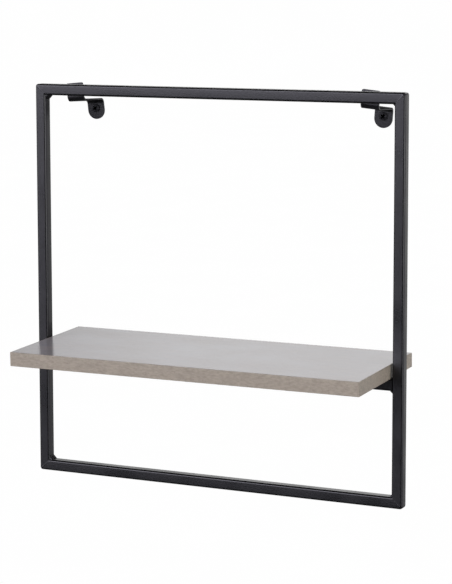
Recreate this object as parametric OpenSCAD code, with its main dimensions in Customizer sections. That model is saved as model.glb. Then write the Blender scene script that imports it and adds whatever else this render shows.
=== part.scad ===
// Wall shelf: a square frame of welded square tube that stands off the wall on two
// bent hooks, with a laminated board passing through it on a welded cross rail.
// Millimetres, +Z up, front towards -Y. The wall is the plane y = 0, and the origin
// lies on it, halfway between the two wall screws. The top of the frame leans slightly
// towards the wall, and the board is level.

/* [Frame] */
// Outside width of the welded frame
frame_w = 450; // [350:10:900]
// Outside height of the welded frame
frame_h = 450; // [300:10:900]
// Outside width of the square tube
tube = 12.7; // [10:0.1:20]
// Wall of the square tube
tube_wall = 1.5; // [1:0.25:2.5]
// Radius on the outer edges of the square tube
tube_edge_r = 2.3; // [0.5:0.1:2.6]
// Distance from the wall to the frame's front face, at the height of the wall screws
stand_off = 60; // [50:1:100]
// Angle by which the top of the frame leans towards the wall
frame_lean = 1.9; // [0:0.1:4]

/* [Board] */
// Depth of the board, from the wall to its front edge
board_d = 158; // [110:1:300]
// Thickness of the finished board
board_t = 16; // [12:1:25]
// Height of the board's underside above the bottom of the frame
board_h = 142; // [60:1:200]
// Gap between each end of the board and the upright beside it
board_gap = 2.5; // [2:0.5:10]
// Thickness of the laminate on both faces of the board
laminate_t = 0.8; // [0.4:0.1:1.5]
// Thickness of the band on the four edges of the board
band_t = 1; // [0.4:0.1:2]

/* [Hooks] */
// Width of the strip that the hooks are bent from
strip_w = 21; // [16:1:30]
// Thickness of the strip
strip_t = 2; // [1.5:0.25:4]
// Outer radius of the bends
bend_r = 5.5; // [4.5:0.5:6.5]
// Height of the hook's front leaf above the top of the frame, at its middle
leaf_rise = 1.4; // [0:0.1:4]
// Distance from the underside of the top rail to the lowest point of the front bend
arm_drop = 7; // [5:0.5:15]
// Angle by which the arm falls from the frame to the wall
arm_fall = 4; // [0:0.1:8]
// Height of the hook's wall leaf, from the top of its bend to its rounded end
wall_leaf_h = 24; // [23:0.5:40]
// Distance from the top of the wall leaf's bend to the screw hole
hole_drop = 11; // [10:0.5:14]
// Angle by which the top of each hook leans outwards
hook_lean = 5.5; // [0:0.5:10]

/* [Wall screws] */
// Distance from each side of the frame to the wall screw nearest to it
screw_inset = 47; // [30:1:100]
// Diameter of the wall screws over the thread
wall_screw_d = 4.5; // [3.5:0.5:6]
// Length of the wall screws below the head
wall_screw_l = 20; // [15:5:60]
// Diameter of the head of the wall screws
wall_head_d = 9.4; // [8:0.2:12]
// Play between the wall screw and its hole, all round
hole_play = 0.25; // [0.1:0.05:0.5]

/* [Board screws] */
// Number of screws that hold the board to the cross rail
board_screws_n = 3; // [2:1:6]
// Distance from the outermost screws to the uprights
board_screw_inset = 60; // [30:5:100]
// Diameter of the board screws over the thread
board_screw_d = 3.5; // [3:0.5:5]
// Diameter of the head of the board screws
board_head_d = 7; // [6:0.5:10]
// Thickness of board left above the tips of the board screws
tip_cover = 3.5; // [2:0.5:6]

/* [Welds] */
// Leg of the fillet welds in the corners of the frame
corner_leg = 3.5; // [2:0.5:5]
// Distance from the ends of a weld to the faces of the tube
weld_inset = 1.2; // [0.5:0.1:2]
// Leg of the welds that join the hooks to the top rail
hook_leg = 1.8; // [1:0.2:3]

/* [Hidden] */
$fn = 48;

// Clearance that keeps a screw's thread off the wall of its own pilot hole
fit_gap = 0.05;
// Amount by which cutting shapes run past the faces that they cut
over = 1;

// Where the back face of the leaning frame crosses the height of the wall screws
frame_back = -stand_off + tube / cos(frame_lean);
screw_pitch = frame_w - 2 * screw_inset;

// The bent strip. Its front leaf leans with the frame. The sideways lean of the hook
// twists the leaf against the frame, and leaf_off keeps its nearer edge out of it.
leaf_lean = atan(tan(frame_lean) * cos(hook_lean));
leaf_off = strip_w / 2 * sin(hook_lean) * sin(frame_lean);
leaf_back = frame_back + leaf_off;

// The axes of the strip's two bends, and the flat between them
bend_in = bend_r - strip_t;
bend_r_sum = bend_r + bend_in;
wall_bend = 90 - arm_fall;
front_bend = 90 - arm_fall + leaf_lean;
bend_steps = 12;
wall_bend_z = hole_drop - bend_r;
arm_run = -leaf_back - bend_r - bend_r / cos(leaf_lean) + bend_r_sum * sin(arm_fall)
    - tan(leaf_lean) * (wall_bend_z + bend_r_sum * cos(arm_fall));
arm_l = arm_run / (cos(arm_fall) + tan(leaf_lean) * sin(arm_fall));
front_bend_y = -bend_r + bend_r_sum * sin(arm_fall) - arm_l * cos(arm_fall);
front_bend_z = wall_bend_z + bend_r_sum * cos(arm_fall) + arm_l * sin(arm_fall);
leaf_under = front_bend_z - bend_r * cos(arm_fall);
leaf_top = leaf_under + arm_drop + tube + leaf_rise;
wall_leaf_r = strip_w / 2;
wall_round_z = hole_drop - wall_leaf_h + wall_leaf_r;
hole_r = wall_screw_d / 2 + hole_play;

// Heights along the lean of the frame, counted from the height of the wall screws
rail_under = leaf_under * cos(hook_lean) + arm_drop;
frame_top = rail_under + tube;
frame_under = frame_top - frame_h;
frame_mid_z = frame_top - frame_h / 2;

// The level board, and the middle of the rail under it, in the middle of the uprights
board_under = frame_under * cos(frame_lean) + board_h;
cross_z = board_under - tube / 2;
cross_y = frame_back - tube / 2 / cos(frame_lean) + cross_z * tan(frame_lean);

// The gap between the uprights, and the board in it
clear_w = frame_w - 2 * tube;
board_l = clear_w - 2 * board_gap;
core_l = board_l - 2 * band_t;
core_d = board_d - 2 * band_t;
core_t = board_t - 2 * laminate_t;

// The screws: grooves cut the thread below its outer diameter, and the tip is a cone
groove_depth = 0.6;
groove_floor = 0.7;
groove_mouth = 1.7;
thread_step = 2;
wall_shank_l = 8;
wall_head_h = 2.6;
board_head_h = 2.2;
board_screw_l = tube + board_t - laminate_t - tip_cover;
board_shank_l = tube;
recess_w = 1.1;
recess_depth = 1.6;
board_screw_span = clear_w - 2 * board_screw_inset;
board_screw_step = board_screw_span / (board_screws_n - 1);

steel_black = "#3a3a40";
board_grey = "#bcbcbe";
edge_grey = "#a39a8d";
core_brown = "#b49a78";
screw_black = "#2c2c30";
weld_black = "#303034";

// A square with rounded corners, centred
module rounded_square(w, r) {
    square([w, w - 2 * r], center = true);
    square([w - 2 * r, w], center = true);
    for (x = [-1, 1], y = [-1, 1])
        translate([x * (w / 2 - r), y * (w / 2 - r)])
            circle(r);
}

// A length of square tube along X, centred on the origin
module square_tube(length) {
    rotate([90, 0, 90])
        linear_extrude(length, center = true)
            difference() {
                rounded_square(tube, tube_edge_r);
                square(tube - 2 * tube_wall, center = true);
            }
}

// One side of the frame along X, mitred at both ends: its outer face is at z = 0
module frame_side(length) {
    intersection() {
        translate([0, 0, -tube / 2])
            square_tube(length + 2 * over);
        rotate([90, 0, 0])
            linear_extrude(tube + 2 * over, center = true)
                polygon([
                    [-length / 2, 0],
                    [length / 2, 0],
                    [length / 2 - tube, -tube],
                    [-length / 2 + tube, -tube]
                ]);
    }
}

// The lean of the frame: its children have the middle of the tube at y = 0
module on_frame() {
    translate([0, frame_back, 0])
        rotate([-frame_lean, 0, 0])
            translate([0, -tube / 2, 0])
                children();
}

module left_upright() {
    color(steel_black)
        on_frame()
            translate([-frame_w / 2, 0, frame_mid_z])
                rotate([0, -90, 0])
                    frame_side(frame_h);
}

module right_upright() {
    color(steel_black)
        on_frame()
            translate([frame_w / 2, 0, frame_mid_z])
                rotate([0, 90, 0])
                    frame_side(frame_h);
}

module top_rail() {
    color(steel_black)
        on_frame()
            translate([0, 0, frame_top])
                frame_side(frame_w);
}

module bottom_rail() {
    color(steel_black)
        on_frame()
            translate([0, 0, frame_under])
                rotate([0, 180, 0])
                    frame_side(frame_w);
}

// The places of the board screws along the cross rail
module at_board_screws() {
    for (i = [0 : board_screws_n - 1])
        translate([i * board_screw_step - board_screw_span / 2, cross_y, board_under - tube])
            children();
}

// The tube under the board, between the uprights, drilled through for the board screws
module cross_rail() {
    color(steel_black)
        difference() {
            translate([0, cross_y, cross_z])
                square_tube(clear_w);
            at_board_screws()
                translate([0, 0, -over])
                    cylinder(r = board_screw_d / 2 + hole_play, h = tube + 2 * over);
        }
}

// A fillet weld in an inner corner: legs along +X and +Z, and its length along Y
module fillet(leg, length) {
    rotate([90, 0, 0])
        linear_extrude(length, center = true)
            polygon([[0, 0], [leg, 0], [0, leg]]);
}

// The fillets in the four inner corners of the frame
module corner_welds() {
    inner_w = clear_w / 2;
    inner_h = frame_h / 2 - tube;
    color(weld_black)
        on_frame()
            translate([0, 0, frame_mid_z])
                for (x = [0, 1], z = [0, 1])
                    mirror([x, 0, 0])
                        mirror([0, 0, z])
                            translate([-inner_w, 0, -inner_h])
                                fillet(corner_leg, tube - 2 * weld_inset);
}

// The fillets under both ends of the cross rail
module cross_rail_welds() {
    color(weld_black)
        translate([0, cross_y, board_under - tube])
            for (x = [0, 1])
                mirror([x, 0, 0])
                    translate([-clear_w / 2, 0, 0])
                        mirror([0, 0, 1])
                            fillet(corner_leg, tube - 2 * weld_inset);
}

// Points on an arc about [y, z], from one angle to another, counted from +Y to +Z
function arc(y, z, r, from, to) = [
    for (i = [0 : bend_steps])
        let (a = from + (to - from) * i / bend_steps)
            [y + r * cos(a), z + r * sin(a)]
];

// A point of the front leaf at height z, on its front face, or a distance in from it
function leaf_point(z, depth) =
    [leaf_back + depth / cos(leaf_lean) + z * tan(leaf_lean), z];

// The strip seen from its edge: down the front leaf, along the underside of the arm
// and down the wall leaf to the middle of its round end, then back up the other face
leaf_face = 180 - leaf_lean;
strip_outline = concat(
    [leaf_point(leaf_top, 0)],
    arc(front_bend_y, front_bend_z, bend_r, leaf_face, leaf_face + front_bend),
    arc(-bend_r, wall_bend_z, bend_in, wall_bend, 0),
    [[-strip_t, wall_round_z], [0, wall_round_z]],
    arc(-bend_r, wall_bend_z, bend_r, 0, wall_bend),
    arc(front_bend_y, front_bend_z, bend_in, leaf_face + front_bend, leaf_face),
    [leaf_point(leaf_top, strip_t)]
);

// A hook with its screw hole on the Y axis. The front leaf lies on the back of the
// top rail, the arm runs to the wall, and the wall leaf hangs down with a round end.
module hook() {
    difference() {
        union() {
            rotate([90, 0, 90])
                linear_extrude(strip_w, center = true)
                    polygon(strip_outline);
            translate([0, 0, wall_round_z])
                rotate([90, 0, 0])
                    cylinder(r = wall_leaf_r, h = strip_t);
        }
        translate([0, over, 0])
            rotate([90, 0, 0])
                cylinder(r = hole_r, h = strip_t + 2 * over);
    }
}

// The place and lean of the hook on one side: -1 is left and 1 is right
module at_hook(side) {
    translate([side * screw_pitch / 2, 0, 0])
        rotate([0, side * hook_lean, 0])
            children();
}

module left_hook() {
    color(steel_black)
        at_hook(-1)
            hook();
}

module right_hook() {
    color(steel_black)
        at_hook(1)
            hook();
}

// The welds up both sides of each hook's front leaf, on the back of the top rail
module hook_welds() {
    weld_h = tube - 2 * tube_edge_r - 2 * weld_inset;
    rail_mid = (rail_under + tube / 2) * cos(frame_lean) / cos(hook_lean);
    color(weld_black)
        for (side = [-1, 1], edge = [-1, 1])
            at_hook(side)
                translate([
                    edge * strip_w / 2,
                    leaf_back + rail_mid * tan(leaf_lean),
                    rail_mid + side * edge * strip_w / 2 * tan(hook_lean)
                ])
                    mirror([edge < 0 ? 1 : 0, 0, 0])
                        rotate([-90 - leaf_lean, 0, 0])
                            fillet(hook_leg, weld_h);
}

// A box over part of the board, given by its low corner and its size
module slab(low, size) {
    translate([low[0], low[1], board_under + low[2]])
        cube(size);
}

// The pilot holes of the board screws, up to their tips
module pilot_holes() {
    at_board_screws()
        cylinder(r = board_screw_d / 2 + fit_gap, h = board_screw_l + fit_gap);
}

module board_core() {
    color(core_brown)
        difference() {
            slab([-core_l / 2, band_t - board_d, laminate_t], [core_l, core_d, core_t]);
            pilot_holes();
        }
}

module top_laminate() {
    color(board_grey)
        slab([-core_l / 2, band_t - board_d, board_t - laminate_t], [core_l, core_d, laminate_t]);
}

module bottom_laminate() {
    color(board_grey)
        difference() {
            slab([-core_l / 2, band_t - board_d, 0], [core_l, core_d, laminate_t]);
            pilot_holes();
        }
}

module front_edge_band() {
    color(edge_grey)
        slab([-board_l / 2, -board_d, 0], [board_l, band_t, board_t]);
}

module back_edge_band() {
    color(edge_grey)
        slab([-board_l / 2, -band_t, 0], [board_l, band_t, board_t]);
}

module left_edge_band() {
    color(edge_grey)
        slab([-board_l / 2, band_t - board_d, 0], [band_t, core_d, board_t]);
}

module right_edge_band() {
    color(edge_grey)
        slab([board_l / 2 - band_t, band_t - board_d, 0], [band_t, core_d, board_t]);
}

// A cross-recessed pan-head screw along +Z, with the underside of its head at z = 0
module pan_screw(d, length, shank_l, head_d, head_h) {
    r = d / 2;
    tip_l = d;
    side_h = head_h / 2;
    dome_h = head_h - side_h;
    dome_r = (pow(head_d / 2, 2) + pow(dome_h, 2)) / (2 * dome_h);
    ridges = floor((length - tip_l - shank_l) / thread_step);
    recess_l = head_d / 2;
    difference() {
        intersection() {
            translate([0, 0, -head_h])
                cylinder(d = head_d, h = head_h);
            translate([0, 0, dome_r - head_h])
                sphere(dome_r);
        }
        for (turn = [0, 90])
            rotate([0, 0, turn])
                translate([-recess_l / 2, -recess_w / 2, -head_h - over])
                    cube([recess_l, recess_w, over + recess_depth]);
    }
    difference() {
        cylinder(r = r, h = length - tip_l);
        rotate_extrude()
            for (i = [0 : ridges - 1])
                translate([r, shank_l + (i + 0.5) * thread_step])
                    polygon([
                        [-groove_depth, -groove_floor / 2],
                        [-groove_depth, groove_floor / 2],
                        [0, groove_mouth / 2],
                        [over, groove_mouth / 2],
                        [over, -groove_mouth / 2],
                        [0, -groove_mouth / 2]
                    ]);
    }
    translate([0, 0, length - tip_l])
        cylinder(r1 = r, r2 = 0, h = tip_l);
}

// The wall screws, through the wall leaves and on into the wall
module wall_screws() {
    color(screw_black)
        for (side = [-1, 1])
            at_hook(side)
                translate([0, -strip_t, 0])
                    rotate([-90, 45, 0])
                        pan_screw(wall_screw_d, wall_screw_l, wall_shank_l, wall_head_d, wall_head_h);
}

// The board screws, up through the cross rail and into the board
module board_screws() {
    color(screw_black)
        at_board_screws()
            pan_screw(board_screw_d, board_screw_l, board_shank_l, board_head_d, board_head_h);
}

left_upright();
right_upright();
top_rail();
bottom_rail();
cross_rail();
corner_welds();
cross_rail_welds();
left_hook();
right_hook();
hook_welds();
board_core();
top_laminate();
bottom_laminate();
front_edge_band();
back_edge_band();
left_edge_band();
right_edge_band();
wall_screws();
board_screws();
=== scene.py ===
"""Wall shelf: a square frame of black tube on two bent hooks, with a grey board through it.

The CAD model is the frame of reference: metres, +Z up, the wall at y = 0 and the origin
halfway between the wall screws. Lengths of the shelf are millimetres until a mesh is made.
"""
from functools import partial
from math import atan, cos, pi, radians, sin, sqrt, tan

import bmesh
import bpy
from mathutils import Matrix, Vector
from mathutils.bvhtree import BVHTree


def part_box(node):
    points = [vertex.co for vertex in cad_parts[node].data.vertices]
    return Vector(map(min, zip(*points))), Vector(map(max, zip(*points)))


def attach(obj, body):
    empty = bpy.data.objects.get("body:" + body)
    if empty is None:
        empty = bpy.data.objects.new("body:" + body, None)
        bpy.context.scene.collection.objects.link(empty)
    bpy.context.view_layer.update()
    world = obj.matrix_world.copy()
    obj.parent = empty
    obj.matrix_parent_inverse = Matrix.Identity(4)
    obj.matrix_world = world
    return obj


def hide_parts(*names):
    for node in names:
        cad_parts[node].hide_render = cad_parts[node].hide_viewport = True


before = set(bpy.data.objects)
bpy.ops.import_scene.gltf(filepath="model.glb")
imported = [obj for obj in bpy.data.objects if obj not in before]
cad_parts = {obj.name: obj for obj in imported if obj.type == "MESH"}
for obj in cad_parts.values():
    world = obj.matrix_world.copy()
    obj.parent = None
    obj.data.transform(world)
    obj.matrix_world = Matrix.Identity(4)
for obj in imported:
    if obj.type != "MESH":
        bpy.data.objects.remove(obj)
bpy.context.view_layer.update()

bl_info = {
    "name": "Wall shelf",
    "version": (1, 0, 0),
    "blender": (4, 5, 0),
    "location": "View3D > Sidebar > Wall shelf",
    "description": "Builds a wall shelf with a welded tube frame and a laminated board",
    "category": "Object",
}

MM = 0.001


def node_box(node):
    """The lowest and highest corner of a CAD node, in millimetres."""
    low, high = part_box(node)
    return Vector(low) / MM, Vector(high) / MM


# Sizes and colours that a user would change

def linear(hex_colour):
    """A linear colour from an sRGB hex value such as #35353b."""
    channels = []
    for start in (1, 3, 5):
        value = int(hex_colour[start:start + 2], 16) / 255
        channels.append(value / 12.92 if value <= 0.04045 else ((value + 0.055) / 1.055) ** 2.4)
    return tuple(channels)


def size_mm(name, description, default, least, most):
    """A size in millimetres."""
    return bpy.props.FloatProperty(
        name=name, description=f"{description}, in mm", default=default, min=least, max=most)


def slant(name, description, default, **limits):
    """An angle, whose default is given in degrees."""
    return bpy.props.FloatProperty(
        name=name, description=description, subtype="ANGLE", default=radians(default), **limits)


def paint(name, description, hex_colour):
    """A colour."""
    return bpy.props.FloatVectorProperty(
        name=name, description=description, subtype="COLOR", default=linear(hex_colour), min=0.0, max=1.0)


def group_of(name, description, kind):
    """A group of settings."""
    return bpy.props.PointerProperty(name=name, description=description, type=kind)


class TubeFrameSettings(bpy.types.PropertyGroup):
    tube: size_mm("Tube", "Outside width of the square tube", 12.7, 10.0, 20.0)
    edge_radius: size_mm("Edge radius", "Radius on the long edges of the tube", 2.3, 0.5, 2.6)
    corner_radius: size_mm("Corner radius", "Radius that the outer corners are ground to", 3.2, 0.3, 4.0)
    lean: slant("Lean", "Angle by which the top leans towards the wall", 1.9, min=0.0, max=radians(4.0))
    weld_leg: size_mm("Weld leg", "Leg of the fillet welds in the corners", 3.5, 2.0, 5.0)
    weld_inset: size_mm(
        "Weld inset", "Distance from the ends of a weld to the faces of the tube", 1.2, 0.5, 2.0)


class HookSettings(bpy.types.PropertyGroup):
    strip_width: size_mm("Strip width", "Width of the strip", 21.0, 16.0, 30.0)
    strip_thickness: size_mm("Strip thickness", "Thickness of the strip", 2.0, 1.5, 4.0)
    bend_radius: size_mm("Bend radius", "Outer radius of the bends", 5.5, 4.5, 6.5)
    edge_round: size_mm(
        "Edge rounding", "Rounding left on the strip's edges by the coating", 0.4, 0.1, 0.8)
    lean: slant(
        "Lean", "Angle by which the top of each hook leans outwards", 5.5, min=0.0, max=radians(10.0))


class BoardSettings(bpy.types.PropertyGroup):
    arris: size_mm("Arris", "Radius on the outer edges of the edge bands", 0.7, 0.2, 1.0)
    top_colour: paint("Top colour", "Main colour of the concrete-look laminate", "#9e9997")
    edge_colour: paint("Edge colour", "Main colour of the edge bands", "#a59b89")


class FinishSettings(bpy.types.PropertyGroup):
    coat_colour: paint("Coat colour", "Colour of the powder coat", "#0d0d0f")
    screw_colour: paint("Screw colour", "Colour of the phosphated screws", "#18181b")


class StudioSettings(bpy.types.PropertyGroup):
    camera_place: bpy.props.FloatVectorProperty(
        name="Camera place", description="Where the camera stands",
        subtype="TRANSLATION", unit="LENGTH", default=(1.00261, -2.15004, 0.22730))
    azimuth: slant("Azimuth", "Angle of the view to the right of straight on", 25.320)
    elevation: slant("Elevation", "Angle by which the camera looks down", 8.723)
    roll: slant("Roll", "Turn of the camera about its own axis", -0.911)
    lens: bpy.props.FloatProperty(
        name="Focal length", description="Focal length in mm", default=130.38, min=20.0, max=300.0)
    shift_down: bpy.props.FloatProperty(
        name="Shift", description="Downward shift of the picture, in its pixels", default=60.0,
        min=0.0, max=100.0)
    floor_drop: bpy.props.FloatProperty(
        name="Floor", description="Height of the wall screws above the floor",
        default=1.3, min=0.6, max=2.0, unit="LENGTH")
    floor_colour: paint("Floor colour", "Colour of the painted floor", "#ffffff")


class WallShelfSettings(bpy.types.PropertyGroup):
    tube_frame: group_of("Frame", "The welded frame", TubeFrameSettings)
    hooks: group_of("Hooks", "The bent hooks", HookSettings)
    board: group_of("Board", "The laminated board", BoardSettings)
    finish: group_of("Finish", "The metal finishes", FinishSettings)
    studio: group_of("Studio", "Floor, light and camera", StudioSettings)


# Materials

# A Mix node's setting for colours, and its sockets, which share their names with others
COLOURS = {"data_type": "RGBA"}
AMOUNT, FIRST, SECOND, MIXED = 0, 6, 7, 2
SCALED_SUM = {"operation": "MULTIPLY_ADD"}


def add_node(tree, kind, settings=None, inputs=None):
    """Adds a node, sets its settings, and fills or links its inputs."""
    made = tree.nodes.new(kind)
    for name, value in (settings or {}).items():
        setattr(made, name, value)
    for name, value in (inputs or {}).items():
        if isinstance(value, bpy.types.NodeSocket):
            tree.links.new(value, made.inputs[name])
        else:
            made.inputs[name].default_value = value
    return made


def finish_named(name, make, *looks):
    """The material of that name, made once. make gets the function that adds a node to the
    tree, and returns what the shader's inputs take."""
    finish = bpy.data.materials.get(name)
    if finish is None:
        finish = bpy.data.materials.new(name)
        finish.use_nodes = True
        finish.node_tree.nodes.clear()
        add = partial(add_node, finish.node_tree)
        place = add("ShaderNodeTexCoord").outputs["Object"]
        shader = add("ShaderNodeBsdfPrincipled", inputs=make(add, place, *looks))
        add("ShaderNodeOutputMaterial", inputs={"Surface": shader.outputs["BSDF"]})
    return finish


def per_metre(size):
    """The scale of a pattern whose features have this size in millimetres."""
    return 1 / (size * MM)


def tint(colour, red, green=None, blue=None):
    """The colour with its channels scaled, all by the first factor where it is alone, and
    with full opacity for a shader socket."""
    factors = (red, green or red, blue or red)
    return tuple(min(1.0, channel * factor) for channel, factor in zip(colour, factors)) + (1.0,)


def polyester_powder_coat(add, place, colour):
    """Polyester powder, sprayed and baked: a black satin skin with a fine grain, which
    mirrors the room softly, and is smoother on the tube's edges, which are drawn darker as painted shade."""
    # The grain of the real coat is about 0.4 mm: it is drawn at 1.6 mm, so that it shows
    grain = add("ShaderNodeTexNoise", inputs={
        "Vector": place, "Scale": per_metre(1.6), "Detail": 2.0, "Roughness": 0.6}).outputs["Fac"]
    # Thicker and thinner passes of the spray gun, about 40 mm apart
    passes = add("ShaderNodeTexNoise", inputs={
        "Vector": place, "Scale": per_metre(40.0), "Detail": 1.0}).outputs["Fac"]
    # Painted shade: this value draws the rounded edges and the mitre lines darker
    edge = add("ShaderNodeAttribute", {"attribute_name": "edge"}).outputs["Fac"]
    # The powder lies thin and dry where the spray gun reached badly, as on a hook's arm
    dry = add("ShaderNodeAttribute", {"attribute_name": "dry"}).outputs["Fac"]
    speckle = add("ShaderNodeMapRange", inputs={
        "Value": grain, "From Min": 0.35, "From Max": 0.65}).outputs["Result"]
    flats = add("ShaderNodeMix", COLOURS, {
        AMOUNT: speckle, FIRST: tint(colour, 0.5), SECOND: tint(colour, 2.2)})
    # Painted shade on the rounded edges: the colour goes near black there
    body = add("ShaderNodeMix", COLOURS, {
        AMOUNT: edge, FIRST: flats.outputs[MIXED], SECOND: tint(colour, 0.35)})
    gloss = add("ShaderNodeMapRange", inputs={
        "Value": passes, "From Min": 0.35, "From Max": 0.65, "To Min": 0.27, "To Max": 0.35})
    smooth = add("ShaderNodeMath", SCALED_SUM, {0: edge, 1: -0.13, 2: gloss.outputs["Result"]})
    rough = add("ShaderNodeMath", SCALED_SUM, {0: dry, 1: 0.45, 2: smooth.outputs["Value"]})
    shine = add("ShaderNodeMath", SCALED_SUM, {0: dry, 1: -0.47, 2: 0.5})
    relief = add("ShaderNodeMath", SCALED_SUM, {0: edge, 1: -0.2, 2: 0.3})
    bump = add("ShaderNodeBump", inputs={
        "Height": grain, "Strength": relief.outputs["Value"], "Distance": 0.0002})
    return {"Base Color": body.outputs[MIXED], "Roughness": rough.outputs["Value"],
            "Specular IOR Level": shine.outputs["Value"], "Normal": bump.outputs["Normal"], "IOR": 1.5}


def concrete_melamine(add, place, colour):
    """Melamine-faced board with a printed concrete look, pressed against a satin plate:
    cool and warm clouds under a smooth skin that mirrors softly at a low angle."""
    # Clouds of the print, 35 mm across and drawn out along the board
    drawn = add("ShaderNodeMapping", inputs={"Vector": place, "Scale": (0.6, 1.0, 1.0)})
    clouds = add("ShaderNodeTexNoise", inputs={
        "Vector": drawn.outputs["Vector"], "Scale": per_metre(35.0), "Detail": 5.0,
        "Roughness": 0.6}).outputs["Fac"]
    # Fine trowel marks of the print, 4 mm apart and long along the board
    trowel = add("ShaderNodeMapping", inputs={"Vector": place, "Scale": (0.12, 1.0, 1.0)})
    marks = add("ShaderNodeTexNoise", inputs={
        "Vector": trowel.outputs["Vector"], "Scale": per_metre(4.0), "Detail": 3.0,
        "Roughness": 0.6}).outputs["Fac"]
    cloud = add("ShaderNodeMapRange", inputs={
        "Value": clouds, "From Min": 0.3, "From Max": 0.7}).outputs["Result"]
    clouded = add("ShaderNodeMix", COLOURS, {
        AMOUNT: cloud, FIRST: tint(colour, 0.86, 0.89, 0.93),
        SECOND: tint(colour, 1.12, 1.07, 1.02)})
    mark = add("ShaderNodeMapRange", inputs={
        "Value": marks, "From Min": 0.5, "From Max": 0.75, "To Max": 0.3}).outputs["Result"]
    body = add("ShaderNodeMix", COLOURS, {
        AMOUNT: mark, FIRST: clouded.outputs[MIXED], SECOND: tint(colour, 0.8)})
    gloss = add("ShaderNodeMapRange", inputs={
        "Value": clouds, "From Min": 0.3, "From Max": 0.7, "To Min": 0.17, "To Max": 0.22})
    bump = add("ShaderNodeBump", inputs={"Height": marks, "Strength": 0.03, "Distance": 0.0001})
    return {"Base Color": body.outputs[MIXED], "Roughness": gloss.outputs["Result"],
            "Normal": bump.outputs["Normal"], "IOR": 1.5}


def printed_abs_band(add, place, colour):
    """ABS edging, extruded and printed: a matt greige with short darker streaks."""
    # Streaks of the print are 1.8 mm high and about 5 mm long
    drawn = add("ShaderNodeMapping", inputs={"Vector": place, "Scale": (0.35, 0.35, 1.0)})
    streaks = add("ShaderNodeTexNoise", inputs={
        "Vector": drawn.outputs["Vector"], "Scale": per_metre(1.8), "Detail": 3.0,
        "Roughness": 0.65}).outputs["Fac"]
    # Darker specks of the print, 2.6 mm apart
    specks = add("ShaderNodeTexNoise", inputs={
        "Vector": place, "Scale": per_metre(2.6), "Detail": 2.0}).outputs["Fac"]
    streak = add("ShaderNodeMapRange", inputs={
        "Value": streaks, "From Min": 0.35, "From Max": 0.7}).outputs["Result"]
    speck = add("ShaderNodeMapRange", inputs={
        "Value": specks, "From Min": 0.6, "From Max": 0.72, "To Max": 0.45}).outputs["Result"]
    streaked = add("ShaderNodeMix", COLOURS, {
        AMOUNT: streak, FIRST: tint(colour, 1.12), SECOND: tint(colour, 0.78)})
    body = add("ShaderNodeMix", COLOURS, {
        AMOUNT: speck, FIRST: streaked.outputs[MIXED], SECOND: tint(colour, 0.6)})
    bump = add("ShaderNodeBump", inputs={"Height": streaks, "Strength": 0.15, "Distance": 0.0001})
    return {"Base Color": body.outputs[MIXED], "Normal": bump.outputs["Normal"],
            "Roughness": 0.42, "IOR": 1.5}


def pressed_chipboard(add, place):
    """Chipboard, pressed from glued wood chips: pale and brown flakes of many sizes."""
    # Chips are about 3 mm across in the core
    chips = add("ShaderNodeTexVoronoi", inputs={"Vector": place, "Scale": per_metre(3.0)})
    chip = add("ShaderNodeSeparateColor", inputs={"Color": chips.outputs["Color"]})
    body = add("ShaderNodeMix", COLOURS, {
        AMOUNT: chip.outputs["Red"], FIRST: tint(linear("#8d6f4c"), 1.0),
        SECOND: tint(linear("#cbb089"), 1.0)})
    bump = add("ShaderNodeBump", inputs={
        "Height": chips.outputs["Distance"], "Strength": 0.5, "Distance": 0.0004})
    return {"Base Color": body.outputs[MIXED], "Normal": bump.outputs["Normal"], "Roughness": 0.85}


def phosphated_steel(add, place, colour):
    """Steel screws with a black phosphate skin, grown in a hot bath: fine matt crystals
    that take the shine off the metal, with slightly greyer patches."""
    # The bath leaves patches of about 1.5 mm
    patches = add("ShaderNodeTexNoise", inputs={
        "Vector": place, "Scale": per_metre(1.5), "Detail": 3.0}).outputs["Fac"]
    # Painted shade in the recess, which the light hardly reaches: it is drawn near black and without
    # shine
    recess = add("ShaderNodeAttribute", {"attribute_name": "recess"}).outputs["Fac"]
    patched = add("ShaderNodeMix", COLOURS, {
        AMOUNT: patches, FIRST: tint(colour, 0.8), SECOND: tint(colour, 1.2)})
    body = add("ShaderNodeMix", COLOURS, {
        AMOUNT: recess, FIRST: patched.outputs[MIXED], SECOND: tint(colour, 0.15)})
    shine = add("ShaderNodeMath", SCALED_SUM, {0: recess, 1: -0.4, 2: 0.4})
    gloss = add("ShaderNodeMapRange", inputs={
        "Value": patches, "From Min": 0.3, "From Max": 0.7, "To Min": 0.55, "To Max": 0.7})
    return {"Base Color": body.outputs[MIXED], "Roughness": gloss.outputs["Result"],
            "Specular IOR Level": shine.outputs["Value"], "IOR": 1.5}


def lit_paint(add, place, colour, mark):
    """Matt white paint or paper, lit evenly by its own lamps: plain, with a faint mottling
    from the roller or from the paper's making, and the same white all over."""
    mottle = add("ShaderNodeTexNoise", inputs={"Vector": place, "Scale": per_metre(mark)})
    body = add("ShaderNodeMix", COLOURS, {
        AMOUNT: mottle.outputs["Fac"], FIRST: tint(colour, 0.99), SECOND: tint(colour, 1.0)})
    return {"Emission Color": body.outputs[MIXED], "Emission Strength": 1.0,
            "Base Color": (0.0, 0.0, 0.0, 1.0), "Specular IOR Level": 0.0, "Roughness": 0.9}


def coat_finish(settings):
    """The coat that the frame, the welds and the hooks share."""
    return finish_named("polyester_powder_coat_baked", polyester_powder_coat, settings.finish.coat_colour)


# Pieces

def new_object(name, shape, finish=None):
    """Turns a bmesh into an object, with one material if there is one."""
    mesh = bpy.data.meshes.new(name)
    shape.to_mesh(mesh)
    shape.free()
    if finish:
        mesh.materials.append(finish)
    made = bpy.data.objects.new(name, mesh)
    bpy.context.scene.collection.objects.link(made)
    return made


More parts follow.
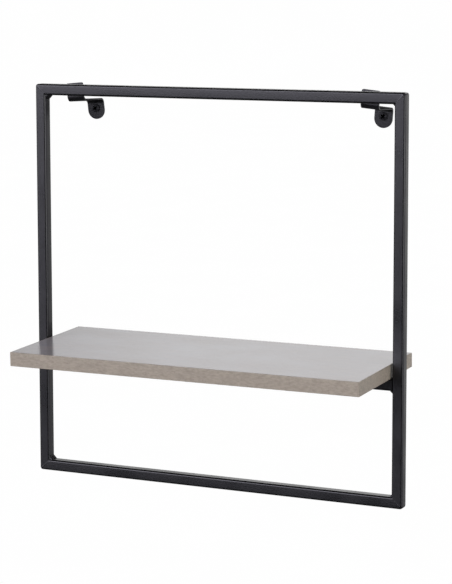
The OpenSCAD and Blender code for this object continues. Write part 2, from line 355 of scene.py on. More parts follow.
def add_piece(name, shape, finish, nodes):
    """Makes a piece from a bmesh in millimetres that stands for these CAD nodes."""
    bmesh.ops.recalc_face_normals(shape, faces=shape.faces)
    bmesh.ops.scale(shape, vec=(MM, MM, MM), verts=shape.verts)
    piece = new_object(name, shape, finish)
    piece.data.shade_smooth()
    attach(piece, "root")
    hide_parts(*nodes)
    return piece


def even_shading(piece, sharp_angle):
    """Keeps flats flat where they meet small roundings, and creases the sharp edges."""
    piece.data.set_sharp_from_angle(angle=radians(sharp_angle))
    weigh = piece.modifiers.new("even_shading", "WEIGHTED_NORMAL")
    weigh.keep_sharp = True
    weigh.weight = 100


def dress_node(node, finish):
    """Gives a CAD node that stays a better material."""
    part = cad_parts[node]
    part.data.materials.clear()
    part.data.materials.append(finish)


def join_rings(shape, rings):
    """Faces between neighbouring rings of vertices, fanned where a ring is one vertex."""
    around = max(len(ring) for ring in rings)
    for first, second in zip(rings, rings[1:]):
        for i in range(around):
            j = (i + 1) % around
            if len(first) == 1:
                shape.faces.new((first[0], second[j], second[i]))
            elif len(second) == 1:
                shape.faces.new((first[i], first[j], second[0]))
            else:
                shape.faces.new((first[i], first[j], second[j], second[i]))


def loft(shape, rings, marks=()):
    """Joins rings of points, all of one length, into a closed skin. marks holds an edge
    value for each point, from 0 on the flats to 1 on a rounded edge."""
    edge = shape.verts.layers.float.get("edge") or shape.verts.layers.float.new("edge")
    made = [[shape.verts.new(point) for point in ring] for ring in rings]
    for row, values in zip(made, marks):
        for vert, value in zip(row, values):
            vert[edge] = value
    join_rings(shape, made)
    shape.faces.new(made[0])
    shape.faces.new(made[-1])


# The frame, with lengths in mm

EDGE_STEPS = 4
CORNER_STEPS = 4
RUN_PARTS = 14
MITRE = 45
INNER_CORNER_R = 0.3
# The dressed weld stands a little proud along the mitre, which is drawn darker as painted shade
MITRE_RIDGE = 0.1
MITRE_MARK = 0.7

BEAD_ROWS = 30
BEAD_FACETS = 8
BEAD_LUMPS = 4
# How far a bead goes into the metal on both sides of its corner
BEAD_FOOT = 0.3
# The leg of the beads on the back of the top rail
HOOK_BEAD_LEG = 1.8
# The leg of the beads under the cross rail, as a share of the nominal leg
CROSS_RAIL_BEAD = 0.9
# Shares of the leg: a bead's round end, its pinch, its crown and the hollow in between
END_ROUND = 0.35
PINCH = 0.14
CROWN = 0.16
HOLLOW = 0.14


def tube_section(size):
    """Points round the square tube as (depth from the outer face, distance from the front
    face), with a value from 0 on the flats to 1 on the middle of each rounded edge."""
    radius = size.edge_radius
    far = size.tube - radius
    corners = (((far, radius), -90), ((far, far), 0), ((radius, far), 90), ((radius, radius), 180))
    points, values = [], []
    for (depth, along), start in corners:
        for step in range(EDGE_STEPS + 1):
            angle = radians(start + 90 * step / EDGE_STEPS)
            points.append((depth + radius * cos(angle), along + radius * sin(angle)))
            values.append(sin(pi * step / EDGE_STEPS))
    return points, values


def frame_heights(size):
    """Heights of the frame's top and bottom along its lean, from its rails' boxes: the
    highest and lowest points are on the rounded front top edge and back bottom edge."""
    lean, radius = size.lean, size.edge_radius
    across = size.tube - radius
    highest = node_box("top_rail")[1].z
    lowest = node_box("bottom_rail")[0].z
    top = (highest - radius - across * sin(lean)) / cos(lean) + radius
    bottom = (lowest + radius - radius * sin(lean)) / cos(lean) - radius
    return top, bottom


def frame_matrix(size):
    """From the frame's own coordinates to the row's: x across, y from the back face, minus
    towards the front, and z up the leaning frame from the height of the wall screws."""
    lean, radius = size.lean, size.edge_radius
    top = frame_heights(size)[0]
    # The top rail reaches furthest back on its rounded back top edge
    back = node_box("top_rail")[1].y - radius + radius * cos(lean) - (top - radius) * sin(lean)
    return Matrix.Translation((0, back, 0)) @ Matrix.Rotation(-lean, 4, "X")


def frame_side(size, turn):
    """One mitred side: turn 0 is the top, and each further turn is the next clockwise."""
    half = node_box("right_upright")[1].x
    tube, outer_r = size.tube, size.corner_radius
    section, values = tube_section(size)
    middle = Vector((0, 0, sum(frame_heights(size)) / 2))
    to_row = frame_matrix(size)
    around = Matrix.Rotation(radians(90 * turn), 4, "Y")
    # Each station has a share of the straight run from -1 to 1, and its angle in a corner
    bend = [MITRE * i / CORNER_STEPS for i in range(CORNER_STEPS + 1)]
    stations = [(-1, -angle) for angle in reversed(bend)]
    stations += [(2 * i / RUN_PARTS - 1, 0) for i in range(1, RUN_PARTS)]
    stations += [(1, angle) for angle in bend]
    rings, marks = [], []
    for share, degrees in stations:
        angle = radians(degrees)
        at_mitre = abs(degrees) == MITRE
        ring = []
        for depth, from_front in section:
            radius = outer_r + (INNER_CORNER_R - outer_r) * depth / tube
            straight = half - depth - radius
            y = from_front - tube
            if at_mitre:
                y += -MITRE_RIDGE if from_front < tube / 2 else MITRE_RIDGE
            point = Vector((share * straight + radius * sin(angle), y,
                            straight + radius * cos(angle)))
            ring.append(to_row @ (around @ point + middle))
        rings.append(ring)
        # The mitre ring gets the painted shade of the rounded edges
        marks.append([max(value, MITRE_MARK) if at_mitre else value for value in values])
    shape = bmesh.new()
    loft(shape, rings, marks)
    return shape


def bead(shape, corner, first, second, length, leg, lumps, to_row):
    """A fillet weld bead along Y in the corner between two directions. The arc was held
    still at each lump, so the bead swells there and pinches in between."""
    rings = []
    for i in range(BEAD_ROWS + 1):
        along = length * (i / BEAD_ROWS - 0.5)
        from_end = min(1.0, (length / 2 - abs(along)) / (leg * END_ROUND))
        swell = 0.5 + 0.5 * sqrt(max(0.0, 1 - (1 - from_end) ** 2))
        wave = abs(sin(pi * lumps * i / BEAD_ROWS))
        size = leg * swell * (1 - PINCH + PINCH * wave)
        ring = [corner - (first + second) * BEAD_FOOT, corner + first * size - second * BEAD_FOOT]
        for step in range(BEAD_FACETS + 1):
            share = step / BEAD_FACETS
            bulge = (leg * CROWN * wave - leg * HOLLOW) * sin(pi * share)
            ring.append(corner + (first * (1 - share) + second * share) * size
                        + (first + second) * bulge * swell)
        ring.append(corner + second * size - first * BEAD_FOOT)
        rings.append([to_row @ (point + Vector((0, along, 0))) for point in ring])
    loft(shape, rings)


def corner_beads(settings):
    """The four beads in the inner corners of the frame, each of its own size."""
    size = settings.tube_frame
    tube, leg = size.tube, size.weld_leg
    top, bottom = frame_heights(size)
    middle = (top + bottom) / 2
    reach_x = node_box("right_upright")[1].x - tube
    reach_z = (top - bottom) / 2 - tube
    length = tube - 2 * size.weld_inset
    to_row = frame_matrix(size)
    shape = bmesh.new()
    # Side, height, size against the nominal leg, and the number of lumps
    for x, z, share, lumps in ((-1, 1, 1.45, 3), (1, 1, 0.6, 4), (-1, -1, 1.35, 3), (1, -1, 0.75, 4)):
        corner = Vector((x * reach_x, -tube / 2, middle + z * reach_z))
        bead(shape, corner, Vector((-x, 0, 0)), Vector((0, 0, -z)), length, leg * share, lumps, to_row)
    return shape


def cross_rail_beads(settings):
    """The two beads under the ends of the cross rail."""
    size = settings.tube_frame
    length = size.tube - 2 * size.weld_inset
    leg = size.weld_leg * CROSS_RAIL_BEAD
    low, high = node_box("cross_rail")
    shape = bmesh.new()
    for x in (-1, 1):
        corner = Vector((x * high.x, (low.y + high.y) / 2, low.z))
        bead(shape, corner, Vector((-x, 0, 0)), Vector((0, 0, -1)), length, leg, BEAD_LUMPS,
             Matrix.Identity(4))
    return shape


# The hooks, with lengths in mm

HOOK_PITCH = 356.0
# Angle at which the arm falls towards the wall
HOOK_FALL = radians(4.0)
# From the top of the wall bend down to the screw hole, and on to the end of the wall leaf
HOLE_DROP = 11.0
LEAF_END_DROP = 13.0
HOLE_R = 2.5
# From the underside of the top rail down to the underside of the arm
ARM_DROP = 7.0
# How far the front leaf rises above the top rail, and the radius of its upper corners
LEAF_RISE = 1.4
LEAF_ROUND = 1.8
BEND_STEPS = 14
# The strip's grid: columns, the widest gap between rows, where the rows end past the bends,
# rows in the rounded corners as shares of their radius, and parts of the outline at the hole
STRIP_COLUMNS = 8
ROW_GAP = 4.0
PAST_BENDS = 0.4
CORNER_ROWS = (0.06, 0.2, 0.45, 1.0)
SIDE_PARTS = 3
END_PARTS = 24
# The rings round the hole, as shares of the way to it from the outline
HOLE_RINGS = (0.4, 0.75, 0.92, 1.0)


def hook_path(settings):
    """Stations down the strip's middle as (length so far, y, z, angle of travel), the
    length to the end of the bends, and the height where the wall leaf's flat starts."""
    size, hooks = settings.tube_frame, settings.hooks
    thick, outer = hooks.strip_thickness, hooks.bend_radius
    mid_r = outer - thick / 2
    lean = atan(tan(size.lean) * cos(hooks.lean))
    back = frame_matrix(size).translation.y + hooks.strip_width / 2 * sin(hooks.lean) * sin(size.lean)
    wall_z = HOLE_DROP - outer
    fall_sin, fall_cos = sin(HOOK_FALL), cos(HOOK_FALL)
    run = (-back - outer - outer / cos(lean) + 2 * mid_r * fall_sin
           - tan(lean) * (wall_z + 2 * mid_r * fall_cos))
    arm = run / (fall_cos + tan(lean) * fall_sin)
    front_y = -outer + 2 * mid_r * fall_sin - arm * fall_cos
    front_z = wall_z + 2 * mid_r * fall_cos + arm * fall_sin
    leaf_top = front_z - outer * fall_cos + ARM_DROP + size.tube + LEAF_RISE
    # Down the front leaf, which leans with the frame
    heading = -pi / 2 - lean
    start = Vector((back + thick / 2 / cos(lean) + leaf_top * tan(lean), leaf_top))
    bend = Vector((front_y - mid_r * cos(lean), front_z + mid_r * sin(lean)))
    length = (bend - start).length
    stations = [(0.0, start.x, start.y, heading), (length, bend.x, bend.y, heading)]
    # The front bend turns the strip towards the wall, and the wall bend turns it down
    turn = pi / 2 + lean - HOOK_FALL
    for i in range(1, BEND_STEPS + 1):
        angle = heading + turn * i / BEND_STEPS
        stations.append((length + mid_r * turn * i / BEND_STEPS, front_y + mid_r * sin(angle),
                         front_z - mid_r * cos(angle), angle))
    length += mid_r * turn + arm
    heading += turn
    turn = pi / 2 - HOOK_FALL
    for i in range(BEND_STEPS + 1):
        angle = heading - turn * i / BEND_STEPS
        stations.append((length + mid_r * turn * i / BEND_STEPS, -outer - mid_r * sin(angle),
                         wall_z + mid_r * cos(angle), angle))
    return stations, length + mid_r * turn, wall_z


def hook_blank(settings, stations, bends_end, wall_z):
    """The flat strip before bending, as a bmesh: x across, y along, z through it."""
    half, thick = settings.hooks.strip_width / 2, settings.hooks.strip_thickness
    hole_y = bends_end + wall_z
    round_y = hole_y + LEAF_END_DROP - half
    columns = [half * (2 * i / STRIP_COLUMNS - 1) for i in range(STRIP_COLUMNS + 1)]
    rows = sorted({round(station[0], 4) for station in stations}) + [bends_end + PAST_BENDS]
    more = [LEAF_ROUND * share for share in CORNER_ROWS]
    for first, second in zip(rows, rows[1:]):
        parts = max(1, int((second - first) / ROW_GAP))
        more += [first + (second - first) * i / parts for i in range(1, parts)]
    flat = bmesh.new()
    grid = []
    for y in sorted(rows + more):
        # The top corners of the leaf are rounded
        inset = LEAF_ROUND - sqrt(LEAF_ROUND ** 2 - max(0.0, LEAF_ROUND - y) ** 2)
        grid.append([flat.verts.new((x * (half - inset) / half, y, 0)) for x in columns])
    for first, second in zip(grid, grid[1:]):
        for i in range(STRIP_COLUMNS):
            flat.faces.new((first[i], first[i + 1], second[i + 1], second[i]))
    # The end with the hole: rings between the outline and the hole
    last_y = rows[-1]
    side = [last_y + (round_y - last_y) * i / SIDE_PARTS for i in range(1, SIDE_PARTS + 1)]
    outline = [(half, y) for y in side]
    outline += [(half * cos(angle), round_y + half * sin(angle))
                for angle in (pi * i / END_PARTS for i in range(1, END_PARTS))]
    outline += [(-half, y) for y in reversed(side)]
    loops = [grid[-1] + [flat.verts.new((x, y, 0)) for x, y in outline]]
    rim = [(vert.co.x, vert.co.y) for vert in grid[-1]] + outline
    for share in HOLE_RINGS:
        ring = []
        for x, y in rim:
            away = Vector((x, y - hole_y))
            place = away.lerp(away.normalized() * HOLE_R, share)
            ring.append(flat.verts.new((place.x, hole_y + place.y, 0)))
        loops.append(ring)
    join_rings(flat, loops)
    bmesh.ops.recalc_face_normals(flat, faces=flat.faces)
    thickened = bmesh.ops.extrude_face_region(flat, geom=list(flat.faces))
    lifted = [item for item in thickened["geom"] if isinstance(item, bmesh.types.BMVert)]
    bmesh.ops.translate(flat, verts=lifted, vec=(0, 0, thick))
    bmesh.ops.translate(flat, verts=flat.verts, vec=(0, 0, -thick / 2))
    bmesh.ops.recalc_face_normals(flat, faces=flat.faces)
    # The long edges of both faces, and no edge through the thickness
    creases = [edge for edge in flat.edges
               if len(edge.link_faces) == 2 and edge.calc_face_angle(0) > radians(60)
               and abs(edge.verts[0].co.z - edge.verts[1].co.z) < 1e-6]
    bmesh.ops.bevel(flat, geom=creases, offset=settings.hooks.edge_round, offset_type="OFFSET",
                    segments=2, profile=0.5, affect="EDGES", clamp_overlap=True)
    return flat


def bent_hook(settings, side):
    """A hook: the flat strip bent along its path, then leaned outwards on its screw."""
    stations, bends_end, wall_z = hook_path(settings)
    shape = hook_blank(settings, stations, bends_end, wall_z)
    thick = settings.hooks.strip_thickness
    # The coat is dry on top of the arm, which lies between the two bends
    dry = shape.verts.layers.float.new("dry")
    slack = 0.1
    arm_start = stations[BEND_STEPS + 1][0] - slack
    arm_end = stations[BEND_STEPS + 2][0] + slack
    for vert in shape.verts:
        x, along, through = vert.co
        vert[dry] = 1.0 if through > 0 and arm_start <= along <= arm_end else 0.0
        if along >= bends_end:
            vert.co = (x, -thick / 2 + through, wall_z - (along - bends_end))
            continue
        for first, second in zip(stations, stations[1:]):
            if along <= second[0]:
                break
        share = (along - first[0]) / (second[0] - first[0])
        y, z, angle = (start + (end - start) * share for start, end in zip(first[1:], second[1:]))
        vert.co = (x, y - sin(angle) * through, z + cos(angle) * through)
    lean = Matrix.Rotation(side * settings.hooks.lean, 4, "Y")
    place = Matrix.Translation((side * HOOK_PITCH / 2, 0, 0)) @ lean
    bmesh.ops.transform(shape, matrix=place, verts=shape.verts)
    return shape


def hook_beads(settings):
    """The beads up both sides of each hook's front leaf, on the back of the top rail."""
    size, hooks = settings.tube_frame, settings.hooks
    length = size.tube - 2 * size.edge_radius - 2 * size.weld_inset
    rail_mid = frame_heights(size)[0] - size.tube / 2
    to_row = frame_matrix(size)
    upright = Matrix.Rotation(pi / 2, 4, "X")
    shape = bmesh.new()
    for side in (-1, 1):
        lean = Matrix.Rotation(side * hooks.lean, 4, "Y")
        for edge in (-1, 1):
            x = (side * HOOK_PITCH / 2 + edge * hooks.strip_width / 2 / cos(hooks.lean)
                 + rail_mid * tan(side * hooks.lean))
            place = to_row @ Matrix.Translation((x, 0, rail_mid)) @ lean @ upright
            bead(shape, Vector((0, 0, 0)), Vector((edge, 0, 0)), Vector((0, 0, -1)), length,
                 HOOK_BEAD_LEG, BEAD_LUMPS, place)
    return shape


# The screws, with lengths in mm. The step is the thread's pitch

WALL_SCREW = {"radius": 2.25, "step": 2.0, "shank": 8.0, "length": 20.0, "head_d": 9.4, "head_h": 2.6}
BOARD_SCREW = {"radius": 1.75, "step": 2.0, "head_d": 7.0, "head_h": 2.2}

# The recess in the head: its floor from the head's underside, and shares of the diameter
RECESS_FLOOR = 0.25
RECESS_ARM = 0.31
RECESS_HALF_WIDTH = 0.11
# The head: points round it, steps up its dome, and its cylindrical rim's share of the height
HEAD_AROUND = 48
DOME_STEPS = 10
RIM_SHARE = 0.42
# The thread: points round it, rows in one turn, and each row's height from floor to ridge
THREAD_AROUND = 24
RIDGE = (1.0, 0.45, 0.0, 0.0, 0.0, 0.0, 0.0, 0.45)
THREAD_DEPTH = 0.6
THREAD_SHARE = 0.28
THREAD_RUN_OUT = 1.5
# How far the shank starts inside the head, which is less than the recess leaves
SHANK_START = 0.1
TIP_R = 0.02
TIP_CURVE = 0.8


def pan_head(head_d, head_h):
    """A pan head without its recess, standing on z = 0 and pointing to -Z."""
    head_r = head_d / 2
    rim = head_h * RIM_SHARE
    # Across the underside, round its edge, up the rim and over the dome
    profile = [(0.0, 0.0), (head_r - 0.3, 0.0), (head_r - 0.08, -0.1), (head_r, -0.35), (head_r, -rim)]
    for i in range(1, DOME_STEPS):
        angle = radians(90 * i / DOME_STEPS)
        profile.append((head_r * cos(angle), -rim - (head_h - rim) * sin(angle)))
    profile.append((0.0, -head_h))
    head = bmesh.new()
    turns = [2 * pi * i / HEAD_AROUND for i in range(HEAD_AROUND)]
    rings = []
    for radius, z in profile:
        ring = [(radius * cos(turn), radius * sin(turn), z) for turn in turns]
        rings.append([head.verts.new(point) for point in (ring if radius else ring[:1])])
    join_rings(head, rings)
    bmesh.ops.recalc_face_normals(head, faces=head.faces)
    return head


def cross_cutter(head_d, head_h):
    """The tapered cross that a driver fits, as a shape to cut away."""
    cutter = bmesh.new()
    rings = []
    # Height, and the arms' length and width against those near the top of the head
    for z, reach, width in ((-head_h - 1.0, 1.2, 1.2), (-head_h + 0.2, 1.0, 1.0),
                            (-RECESS_FLOOR, 0.6, 0.7)):
        a = head_d * RECESS_ARM * reach
        w = head_d * RECESS_HALF_WIDTH * width
        rings.append([cutter.verts.new((x, y, z)) for x, y in (
            (a, -w), (a, w), (w, w), (w, a), (-w, a), (-w, w),
            (-a, w), (-a, -w), (-w, -w), (-w, -a), (w, -a), (w, -w))])
    join_rings(cutter, rings)
    cutter.faces.new(rings[0])
    cutter.faces.new(rings[-1])
    bmesh.ops.recalc_face_normals(cutter, faces=cutter.faces)
    return cutter


def cut_away(body, cutter):
    """The first shape with the second taken out of it, as a new bmesh."""
    body.verts.index_update()
    corners = [vert.co.copy() for vert in body.verts]
    shell = BVHTree.FromPolygons(corners, [[vert.index for vert in face.verts] for face in body.faces])
    parts = [new_object("cut_body", body), new_object("cut_tool", cutter)]
    cut = parts[0].modifiers.new("cut", "BOOLEAN")
    cut.operation = "DIFFERENCE"
    cut.solver = "EXACT"
    cut.object = parts[1]
    graph = bpy.context.evaluated_depsgraph_get()
    result = bmesh.new()
    result.from_mesh(parts[0].evaluated_get(graph).to_mesh())
    # The faces that the cutter left are off the old surface, and get the painted shade of the recess
    recess = result.faces.layers.float.new("recess")
    on_surface = 0.02
    for face in result.faces:
        away = shell.find_nearest(face.calc_center_median())[3]
        face[recess] = 0.0 if away < on_surface else 1.0
    for part in parts:
        mesh = part.data
        bpy.data.objects.remove(part)
        bpy.data.meshes.remove(mesh)
    return result


def threaded_shank(shape, radius, shank, length, step):
    """The shank, thread and point of a screw along +Z, with one true helix."""
    per_turn = len(RIDGE)
    depth = min(THREAD_DEPTH, radius * THREAD_SHARE)
    rings = []
    for row in range(-per_turn, int((length + 2 * step) / step * per_turn)):
        ring = []
        for i in range(THREAD_AROUND):
            share = i / THREAD_AROUND
            z = min(max((row / per_turn + share) * step, -SHANK_START), length)
            threaded = min(1.0, max(0.0, (z - shank) / THREAD_RUN_OUT))
            r = radius - depth * (1 - RIDGE[row % per_turn]) * threaded
            # The point narrows over one diameter
            r *= min(1.0, max(0.0, (length - z) / (2 * radius))) ** TIP_CURVE
            angle = 2 * pi * share
            ring.append(shape.verts.new((max(r, TIP_R) * cos(angle), max(r, TIP_R) * sin(angle), z)))
        rings.append(ring)
    last = THREAD_AROUND - 1
    for row, (first, second) in enumerate(zip(rings, rings[1:])):
        for i in range(last):
            shape.faces.new((first[i], first[i + 1], second[i + 1], second[i]))
        # The helix steps up one turn where it closes
        if row + per_turn + 1 < len(rings):
            low, high = rings[row + per_turn], rings[row + per_turn + 1]
            shape.faces.new((first[last], low[0], high[0], second[last]))
    bmesh.ops.remove_doubles(shape, verts=shape.verts, dist=0.004)
    bmesh.ops.dissolve_degenerate(shape, edges=shape.edges, dist=0.0005)
    loose = [edge for edge in shape.edges if len(edge.link_faces) < 2]
    bmesh.ops.holes_fill(shape, edges=loose, sides=0)


def add_shape(shape, other, matrix):
    """Adds a copy of another shape, placed by a matrix."""
    copy = other.copy()
    bmesh.ops.transform(copy, matrix=matrix, verts=copy.verts)
    mesh = bpy.data.meshes.new("copy")
    copy.to_mesh(mesh)
    copy.free()
    shape.from_mesh(mesh)
    bpy.data.meshes.remove(mesh)


def pan_screws(radius, step, shank, length, head_d, head_h, places):
    """Like screws at their places, each along +Z with the underside of its head at z = 0
    before it is placed."""
    one = cut_away(pan_head(head_d, head_h), cross_cutter(head_d, head_h))
    body = bmesh.new()
    threaded_shank(body, radius, shank, length, step)
    add_shape(one, body, Matrix.Identity(4))
    body.free()
    shape = bmesh.new()
    for place in places:
        add_shape(shape, one, place)
    one.free()
    return shape


def wall_screw_pair(settings):
    """Both wall screws, each stopped at its own turn of the cross."""
    into_wall = Matrix.Rotation(radians(-90), 4, "X")
    places = []
    for x, turn in ((-HOOK_PITCH / 2, 52), (HOOK_PITCH / 2, 45)):
        stopped = Matrix.Rotation(radians(turn), 4, "Y")
        places.append(Matrix.Translation((x, -settings.hooks.strip_thickness, 0)) @ stopped @ into_wall)
    return pan_screws(places=places, **WALL_SCREW)


def board_screw_row(settings):
    """The three screws up through the cross rail, each at its own turn of the cross."""
    low, high = node_box("board_screws")
    rail_low = node_box("cross_rail")[0]
    reach = high.x - BOARD_SCREW["head_d"] / 2
    places = []
    for x, turn in ((-reach, 10), (0.0, 67), (reach, 38)):
        stopped = Matrix.Rotation(radians(turn), 4, "Z")
        places.append(Matrix.Translation((x, (low.y + high.y) / 2, rail_low.z)) @ stopped)
    return pan_screws(places=places, shank=settings.tube_frame.tube, length=high.z - rail_low.z,
                      **BOARD_SCREW)


# The board

# The corners of a slab's faces, each as 0 for low or 1 for high along x, y and z
SLAB_FACES = {
    "-x": "000 001 011 010", "+x": "100 110 111 101", "-y": "000 100 101 001",
    "+y": "010 011 111 110", "-z": "000 010 110 100", "+z": "001 101 111 011"}


def eased_slab(low, high, eased, radius):
    """A slab between two corners. eased holds the edges that get the radius, each as the
    two faces that meet there, such as ("-y", "+z"), and the rest stay crisp."""
    shape = bmesh.new()
    ends = (low, high)
    corners = {f"{x}{y}{z}": shape.verts.new((ends[x].x, ends[y].y, ends[z].z))
               for x in (0, 1) for y in (0, 1) for z in (0, 1)}
    made = {name: shape.faces.new([corners[corner] for corner in loop.split()])
            for name, loop in SLAB_FACES.items()}
    edges = [next(edge for edge in made[first].edges if edge in made[second].edges[:])
             for first, second in eased]
    bmesh.ops.bevel(shape, geom=edges, offset=radius, offset_type="OFFSET",
                    segments=4, profile=0.5, affect="EDGES", clamp_overlap=True)
    return shape


# Operators, one for each piece or group of like pieces

class WALL_SHELF_OT_tube_frame(bpy.types.Operator):
    """Build the four mitred sides of the frame"""
    bl_idname = "wall_shelf.tube_frame"
    bl_label = "Tube frame"

    def execute(self, context):
        settings = context.scene.wall_shelf
        coat = coat_finish(settings)
        names = (("top_tube", "top_rail"), ("right_tube", "right_upright"),
                 ("bottom_tube", "bottom_rail"), ("left_tube", "left_upright"))
        for turn, (name, node) in enumerate(names):
            piece = add_piece(name, frame_side(settings.tube_frame, turn), coat, [node])
            even_shading(piece, sharp_angle=50)
        dress_node("cross_rail", coat)
        return {"FINISHED"}


class WALL_SHELF_OT_weld_beads(bpy.types.Operator):
    """Build the weld beads of the frame, the cross rail and the hooks"""
    bl_idname = "wall_shelf.weld_beads"
    bl_label = "Weld beads"

    def execute(self, context):
        settings = context.scene.wall_shelf
        for name, make, node in (("corner_beads", corner_beads, "corner_welds"),
                                 ("cross_rail_beads", cross_rail_beads, "cross_rail_welds"),
                                 ("hook_beads", hook_beads, "hook_welds")):
            add_piece(name, make(settings), coat_finish(settings), [node])
        return {"FINISHED"}


class WALL_SHELF_OT_hooks(bpy.types.Operator):
    """Bend the two hooks that hold the frame off the wall"""
    bl_idname = "wall_shelf.hooks"
    bl_label = "Hooks"

    def execute(self, context):
        settings = context.scene.wall_shelf
        coat = coat_finish(settings)
        for name, side, node in (("left_bent_hook", -1, "left_hook"),
                                 ("right_bent_hook", 1, "right_hook")):
            piece = add_piece(name, bent_hook(settings, side), coat, [node])
            even_shading(piece, sharp_angle=60)
        return {"FINISHED"}


class WALL_SHELF_OT_screws(bpy.types.Operator):
    """Turn in the wall screws and the board screws"""
    bl_idname = "wall_shelf.screws"
    bl_label = "Screws"

    def execute(self, context):
        settings = context.scene.wall_shelf
        finish = finish_named("black_phosphated_steel", phosphated_steel, settings.finish.screw_colour)
        for name, make, node in (("wall_screw_pair", wall_screw_pair, "wall_screws"),
                                 ("board_screw_row", board_screw_row, "board_screws")):
            piece = add_piece(name, make(settings), finish, [node])
            piece.data.set_sharp_from_angle(angle=radians(35))
        return {"FINISHED"}


class WALL_SHELF_OT_board(bpy.types.Operator):
    """Lay the board: its core, its laminate and its edge bands"""
    bl_idname = "wall_shelf.board"
    bl_label = "Board"

    def execute(self, context):
        settings = context.scene.wall_shelf
        board = settings.board
        laminate = finish_named("concrete_look_melamine_pressed", concrete_melamine, board.top_colour)
        band = finish_named("printed_abs_edging", printed_abs_band, board.edge_colour)
        dress_node("top_laminate", laminate)
        dress_node("bottom_laminate", laminate)
        dress_node("board_core", finish_named("pressed_chipboard", pressed_chipboard))
        # The long bands cover the ends of the short ones, so theirs are eased as well
        for name, outer, ends in (("front", "-y", ("-x", "+x")), ("back", "+y", ("-x", "+x")),
                                  ("left", "-x", ()), ("right", "+x", ())):
            low, high = node_box(name + "_edge_band")
            eased = [(outer, "+z"), (outer, "-z")]
            for end in ends:
                eased += [(outer, end), (end, "+z"), (end, "-z")]
            piece = add_piece(name + "_edging", eased_slab(low, high, eased, board.arris), band,
                              [name + "_edge_band"])
            even_shading(piece, sharp_angle=50)
        return {"FINISHED"}


class WALL_SHELF_OT_stage(bpy.types.Operator):
    """Set up the floor, the light and the camera"""
    bl_idname = "wall_shelf.stage"
    bl_label = "Stage"

    def execute(self, context):
        studio = context.scene.wall_shelf.studio
        make_floor(studio)
        make_light()
        make_camera(studio)
        context.scene.view_settings.view_transform = "Standard"
        return {"FINISHED"}


# The stage, with lengths in metres

BACKDROP_R = 15.0
# The floor reaches just past the backdrop
FLOOR_R = 15.2
PHOTO_LONG_SIDE = 584
SENSOR_W = 36.0

COOL = (0.93, 0.91, 1.05, 1.0)
NEUTRAL = (1.0, 1.0, 1.0, 1.0)
ROOM_LIGHT = 0.08

# Each source as its direction, the angles from it in degrees where it is full and gone,
# its tint and strength, and the heights between which it ends, each from dark to lit
LIGHT_SOURCES = (
    # A wide softbox at the front left, which ends at the level of a table
    ((-0.56, -0.79, 0.25), 20, 42, COOL, 5.1, ((-0.04, 0.09), (0.6, 0.36))),
    # A dim low one at the left
    ((-0.77, -0.62, -0.14), 6, 26, COOL, 0.5, ()),
    # A small lamp at the right, and a wide dim one further back
    ((0.9, -0.43, 0.0), 9, 24, NEUTRAL, 3.2, ((-0.19, -0.09),)),
    ((0.95, 0.0, 0.2), 25, 65, COOL, 0.75, ()),
    # Two pale areas of wall behind the shelf
    ((-0.23, 0.95, 0.3), 12, 24, NEUTRAL, 1.65, ((0.11, 0.2),)),
    ((0.24, 0.95, -0.16), 7, 26, NEUTRAL, 0.8, ((-0.5, -0.1),)),
)


def add_stage_piece(name, shape, finish):
    """A piece of the studio that the camera sees, and that leaves the light as it is."""
    piece = new_object(name, shape, finish)
    piece.visible_diffuse = False
    piece.visible_glossy = False
    piece.visible_shadow = False


def make_floor(studio):
    """A plain pale floor, far enough down that no shadow of the shelf falls in view, and
    the pale paper behind it, which goes all round."""
    shape = bmesh.new()
    bmesh.ops.create_circle(shape, cap_ends=True, segments=96, radius=FLOOR_R)
    bmesh.ops.translate(shape, verts=shape.verts, vec=(0, 0, -studio.floor_drop))
    # The mottling is 250 mm across on the floor and 400 mm on the paper
    floor_paint = finish_named("matt_floor_paint_rolled", lit_paint, studio.floor_colour, 250.0)
    add_stage_piece("floor", shape, floor_paint)
    shape = bmesh.new()
    bmesh.ops.create_uvsphere(shape, u_segments=48, v_segments=24, radius=BACKDROP_R)
    paper = finish_named("pale_backdrop_paper", lit_paint, studio.floor_colour, 400.0)
    add_stage_piece("backdrop", shape, paper)


def soft_source(add, direction, axis, full, gone, colour, strength, levels):
    """The light of one soft source, as it is seen along direction."""
    towards = add("ShaderNodeVectorMath", {"operation": "DOT_PRODUCT"}, {
        0: direction, 1: Vector(axis).normalized()})
    amount = add("ShaderNodeMapRange", {"interpolation_type": "SMOOTHSTEP"}, {
        "Value": towards.outputs["Value"], "From Min": cos(radians(gone)),
        "From Max": cos(radians(full)), "To Max": strength}).outputs["Result"]
    height = add("ShaderNodeSeparateXYZ", inputs={"Vector": direction}).outputs["Z"]
    for dark, lit in levels:
        ended = add("ShaderNodeMapRange", {"interpolation_type": "SMOOTHSTEP"}, {
            "Value": height, "From Min": dark, "From Max": lit})
        amount = add("ShaderNodeMath", {"operation": "MULTIPLY"}, {
            0: amount, 1: ended.outputs["Result"]}).outputs["Value"]
    return add("ShaderNodeBackground", inputs={"Color": colour, "Strength": amount})


def make_light():
    """Soft studio light: all the sources, in a dim room."""
    world = bpy.data.worlds.new("studio_light")
    bpy.context.scene.world = world
    world.use_nodes = True
    world.node_tree.nodes.clear()
    add = partial(add_node, world.node_tree)
    direction = add("ShaderNodeTexCoord").outputs["Generated"]
    total = add("ShaderNodeBackground", inputs={"Color": NEUTRAL, "Strength": ROOM_LIGHT})
    for source in LIGHT_SOURCES:
        light = soft_source(add, direction, *source)
        total = add("ShaderNodeAddShader", inputs={0: total.outputs[0], 1: light.outputs[0]})
    add("ShaderNodeOutputWorld", inputs={"Surface": total.outputs[0]})


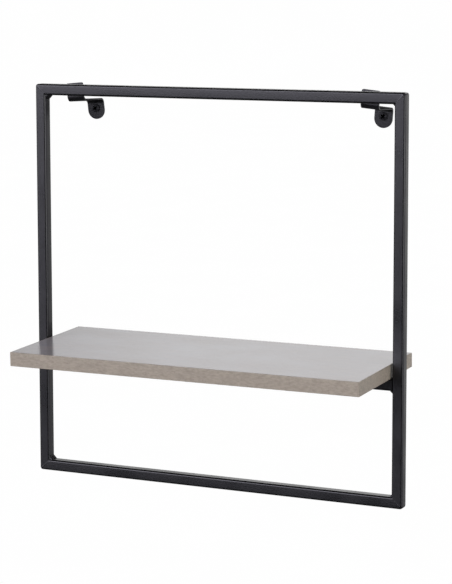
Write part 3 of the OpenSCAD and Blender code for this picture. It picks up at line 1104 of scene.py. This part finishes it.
def make_camera(studio):
    """The camera where the photograph was taken from."""
    azimuth, elevation, roll = studio.azimuth, studio.elevation, studio.roll
    ahead = Vector((-sin(azimuth) * cos(elevation), cos(azimuth) * cos(elevation),
                    -sin(elevation)))
    level = Vector((cos(azimuth), sin(azimuth), 0))
    above = level.cross(ahead)
    right = level * cos(roll) + above * sin(roll)
    up = above * cos(roll) - level * sin(roll)
    data = bpy.data.cameras.new("photo_camera")
    data.sensor_width = SENSOR_W
    data.lens = studio.lens
    data.shift_y = -studio.shift_down / PHOTO_LONG_SIDE
    data.dof.use_dof = False
    camera = bpy.data.objects.new("photo_camera", data)
    turn = Matrix((right, up, -ahead)).transposed()
    camera.matrix_world = Matrix.Translation(studio.camera_place) @ turn.to_4x4()
    bpy.context.scene.collection.objects.link(camera)
    bpy.context.scene.camera = camera


class WALL_SHELF_PT_panel(bpy.types.Panel):
    """Lists the steps that build the wall shelf"""
    bl_idname = "WALL_SHELF_PT_panel"
    bl_label = "Wall shelf"
    bl_space_type = "VIEW_3D"
    bl_region_type = "UI"
    bl_category = "Wall shelf"

    def draw(self, context):
        column = self.layout.column()
        for step in STEPS:
            column.operator(step.bl_idname)


SETTINGS = (
    TubeFrameSettings, HookSettings, BoardSettings, FinishSettings, StudioSettings, WallShelfSettings)
STEPS = (
    WALL_SHELF_OT_tube_frame, WALL_SHELF_OT_weld_beads, WALL_SHELF_OT_hooks, WALL_SHELF_OT_screws,
    WALL_SHELF_OT_board, WALL_SHELF_OT_stage)


def register():
    for kind in SETTINGS + STEPS + (WALL_SHELF_PT_panel,):
        bpy.utils.register_class(kind)
    bpy.types.Scene.wall_shelf = bpy.props.PointerProperty(type=WallShelfSettings)


def unregister():
    del bpy.types.Scene.wall_shelf
    for kind in reversed(SETTINGS + STEPS + (WALL_SHELF_PT_panel,)):
        bpy.utils.unregister_class(kind)


def main():
    register()
    bpy.ops.wall_shelf.tube_frame()
    bpy.ops.wall_shelf.weld_beads()
    bpy.ops.wall_shelf.hooks()
    bpy.ops.wall_shelf.screws()
    bpy.ops.wall_shelf.board()
    bpy.ops.wall_shelf.stage()


if __name__ == "__main__":
    main()
